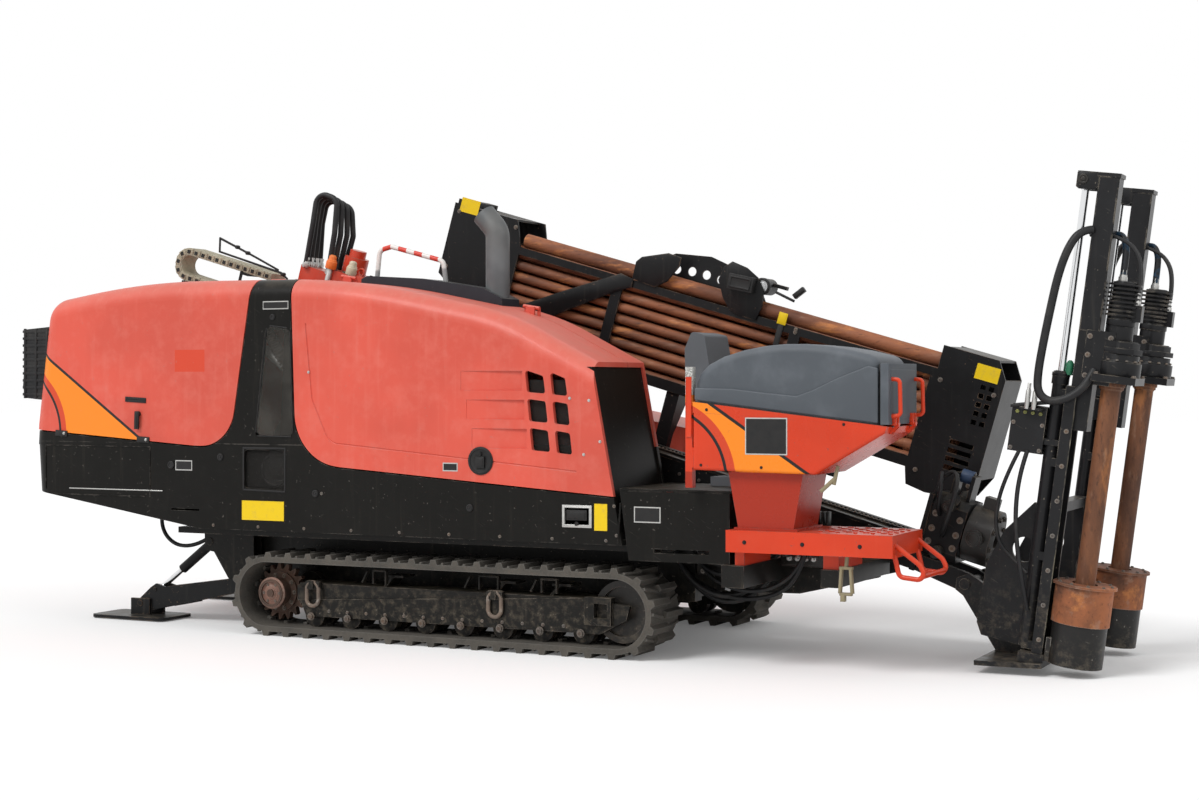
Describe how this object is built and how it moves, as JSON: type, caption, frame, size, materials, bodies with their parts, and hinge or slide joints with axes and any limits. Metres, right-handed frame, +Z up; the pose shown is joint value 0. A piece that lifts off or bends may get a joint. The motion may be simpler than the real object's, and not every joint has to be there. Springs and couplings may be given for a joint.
{
  "type": "horizontal directional drill",
  "caption": "Tracked drilling rig with inclined thrust frame and pipe box, engine pod with lifting hoods, side console, rear stabilizers and twin anchor masts.",
  "frame": {"origin": "middle of the footprint on the ground", "axes": "+X towards the drilling end along the drill line, +Z up; the engine pod and console are on the -Y side"},
  "size_m": [6.5438, 2.1, 2.577],
  "materials": {
    "track_rubber": "worn matte",
    "rusty_steel": "rusty",
    "dark_steel": "oily",
    "black_paint": "worn satin",
    "bare_steel": "worn",
    "faded_red": "faded satin",
    "hull_black": "satin",
    "black_plastic": "matte",
    "stack_steel": "heat worn",
    "rail_paint": "red and white",
    "engine_grey": "plain",
    "orange_red": "semi-gloss",
    "slate_plastic": "textured",
    "seat_grey": "textured",
    "pipe_rust": "rusty",
    "motor_red": "gloss",
    "hose_rubber": "satin",
    "chain_tan": "dusty",
    "chrome": "polished",
    "cup_black": "muddy",
    "drum_rust": "rusty",
    "drive_black": "oily"
  },
  "bodies": {
    "chassis": {"chassis": "black_paint", "track_belts": "track_rubber", "track_frames": "black_paint", "lifting_rings": "bare_steel", "lower_hull": "hull_black", "pod_pillar": "hull_black", "pod_spine": "faded_red", "front_bulkhead": "hull_black", "top_cover": "hull_black", "exhaust_stack": "stack_steel", "grab_rail": "rail_paint", "engine_block": "engine_grey", "front_deck": "hull_black", "far_side_body": "faded_red", "step_platform": "orange_red", "console_tub": "orange_red", "operator_seat": "seat_grey"},
    "drive_sprockets": {"drive_sprockets": "rusty_steel"},
    "idler_wheels": {"idler_wheels": "dark_steel"},
    "hood_rear": {"hood_rear": "faded_red", "rear_air_case": "black_plastic"},
    "hood_front": {"hood_front": "faded_red"},
    "console_lid": {"console_lid": "slate_plastic", "console_handles": "orange_red"},
    "drill_frame": {"thrust_frame": "black_paint", "pipe_box": "black_paint", "drill_pipes": "pipe_rust", "top_tube": "pipe_rust", "arch_bracket": "black_paint", "fixed_vise": "black_paint", "energy_chain": "chain_tan", "chain_tray": "black_paint"},
    "pipe_shuttle": {"pipe_shuttle": "black_paint"},
    "turning_wrench": {"turning_wrench": "dark_steel"},
    "drill_carriage": {"drill_carriage": "black_paint", "rotation_motors": "motor_red", "carriage_hoses": "hose_rubber"},
    "drive_spindle": {"drive_spindle": "bare_steel"},
    "anchor_frame": {"anchor_frame": "black_paint", "stake_cups": "cup_black", "stake_drums": "drum_rust"},
    "mast_near": {"mast_near": "black_paint", "mast_rod_near": "chrome", "mast_drive_near": "drive_black"},
    "mast_far": {"mast_far": "black_paint", "mast_rod_far": "chrome", "mast_drive_far": "drive_black"},
    "anchor_stake_near": {"anchor_stake_near": "pipe_rust"},
    "anchor_stake_far": {"anchor_stake_far": "pipe_rust"},
    "tilt_barrel": {"tilt_barrel": "black_paint"},
    "tilt_rod": {"tilt_rod": "chrome"},
    "stabilizer_arm_near": {"stabilizer_arm_near": "black_paint"},
    "stabilizer_barrel_near": {"stabilizer_barrel_near": "black_paint"},
    "stabilizer_rod_near": {"stabilizer_rod_near": "chrome"},
    "stabilizer_arm_far": {"stabilizer_arm_far": "black_paint"},
    "stabilizer_barrel_far": {"stabilizer_barrel_far": "black_paint"},
    "stabilizer_rod_far": {"stabilizer_rod_far": "chrome"}
  },
  "joints": [
    {"name": "sprockets_turn", "type": "hinge", "parent": "chassis", "child": "drive_sprockets", "pos_m": [-1.46288, 0, 0.235], "axis": [0, 1, 0], "continuous": true},
    {"name": "idlers_turn", "type": "hinge", "parent": "chassis", "child": "idler_wheels", "pos_m": [0.70712, 0, 0.235], "axis": [0, 1, 0], "continuous": true},
    {"name": "hood_rear_lift", "type": "hinge", "parent": "chassis", "child": "hood_rear", "pos_m": [-2.05789, -0.5015, 2.019], "axis": [-1, 0, 0], "range_deg": [0, 55]},
    {"name": "hood_front_lift", "type": "hinge", "parent": "chassis", "child": "hood_front", "pos_m": [-1.18789, -0.5015, 2.028], "axis": [-0.9872, 0, 0.1593], "range_deg": [0, 55]},
    {"name": "console_lid_lift", "type": "hinge", "parent": "chassis", "child": "console_lid", "pos_m": [2.21411, -0.815, 1.224], "axis": [0, 1, 0], "range_deg": [0, 80]},
    {"name": "drill_tilt", "type": "hinge", "parent": "chassis", "child": "drill_frame", "pos_m": [1.81711, 0, 0.59586], "axis": [0, 1, 0], "range_deg": [-4, 0]},
    {"name": "shuttle_slide", "type": "slide", "parent": "drill_frame", "child": "pipe_shuttle", "axis": [0, 1, 0], "range_m": [-0.235, 0]},
    {"name": "wrench_turn", "type": "hinge", "parent": "drill_frame", "child": "turning_wrench", "pos_m": [2.36851, 0, 0.63229], "axis": [0.9613, 0, -0.2756], "range_deg": [-25, 25]},
    {"name": "carriage_slide", "type": "slide", "parent": "drill_frame", "child": "drill_carriage", "axis": [0.9613, 0, -0.2756], "range_m": [0, 3.2]},
    {"name": "spindle_turn", "type": "hinge", "parent": "drill_carriage", "child": "drive_spindle", "pos_m": [-1.28428, 0, 1.67971], "axis": [0.9613, 0, -0.2756], "continuous": true},
    {"name": "anchor_pivot", "type": "hinge", "parent": "drill_frame", "child": "anchor_frame", "pos_m": [2.3312, 0, 0.39332], "axis": [0, 1, 0], "range_deg": [-3, 4]},
    {"name": "mast_slide_near", "type": "slide", "parent": "anchor_frame", "child": "mast_near", "axis": [0.1305, 0, 0.9914], "range_m": [-0.7, 0]},
    {"name": "stake_turn_near", "type": "hinge", "parent": "mast_near", "child": "anchor_stake_near", "pos_m": [3.03177, -0.43, 0.72791], "axis": [0.1305, 0, 0.9914], "continuous": true},
    {"name": "mast_slide_far", "type": "slide", "parent": "anchor_frame", "child": "mast_far", "axis": [0.1305, 0, 0.9914], "range_m": [-0.7, 0]},
    {"name": "stake_turn_far", "type": "hinge", "parent": "mast_far", "child": "anchor_stake_far", "pos_m": [3.03177, 0.43, 0.72791], "axis": [0.1305, 0, 0.9914], "continuous": true},
    {"name": "tilt_barrel_pivot", "type": "hinge", "parent": "chassis", "child": "tilt_barrel", "pos_m": [0.27211, 0, 0.49], "axis": [0, 1, 0], "range_deg": [-9.21, 0]},
    {"name": "tilt_rod_slide", "type": "slide", "parent": "tilt_barrel", "child": "tilt_rod", "axis": [-0.7401, 0, 0.6725], "range_m": [-0.07385, 0]},
    {"name": "stabilizer_lift_near", "type": "hinge", "parent": "chassis", "child": "stabilizer_arm_near", "pos_m": [-1.85789, -0.515, 0.232], "axis": [0, 1, 0], "range_deg": [-4, 18]},
    {"name": "stabilizer_barrel_pivot_near", "type": "hinge", "parent": "chassis", "child": "stabilizer_barrel_near", "pos_m": [-2.13289, -0.515, 0.478], "axis": [0, 1, 0], "range_deg": [-5.14, 22.94]},
    {"name": "stabilizer_rod_slide_near", "type": "slide", "parent": "stabilizer_barrel_near", "child": "stabilizer_rod_near", "axis": [-0.7964, 0, -0.6048], "range_m": [-0.10938, 0.0247]},
    {"name": "stabilizer_lift_far", "type": "hinge", "parent": "chassis", "child": "stabilizer_arm_far", "pos_m": [-1.85789, 0.515, 0.232], "axis": [0, 1, 0], "range_deg": [-4, 18]},
    {"name": "stabilizer_barrel_pivot_far", "type": "hinge", "parent": "chassis", "child": "stabilizer_barrel_far", "pos_m": [-2.13289, 0.515, 0.478], "axis": [0, 1, 0], "range_deg": [-5.14, 22.94]},
    {"name": "stabilizer_rod_slide_far", "type": "slide", "parent": "stabilizer_barrel_far", "child": "stabilizer_rod_far", "axis": [-0.7964, 0, -0.6048], "range_m": [-0.10938, 0.0247]}
  ],
  "couplings": [
    {"joint": "tilt_barrel_pivot", "follows": "drill_tilt", "ratio": 2.2899},
    {"joint": "tilt_rod_slide", "follows": "drill_tilt", "m_per_rad": 1.0507},
    {"joint": "stabilizer_barrel_pivot_near", "follows": "stabilizer_lift_near", "ratio": 1.2717},
    {"joint": "stabilizer_rod_slide_near", "follows": "stabilizer_lift_near", "m_per_rad": -0.34658},
    {"joint": "stabilizer_barrel_pivot_far", "follows": "stabilizer_lift_far", "ratio": 1.2717},
    {"joint": "stabilizer_rod_slide_far", "follows": "stabilizer_lift_far", "m_per_rad": -0.34658}
  ]
}
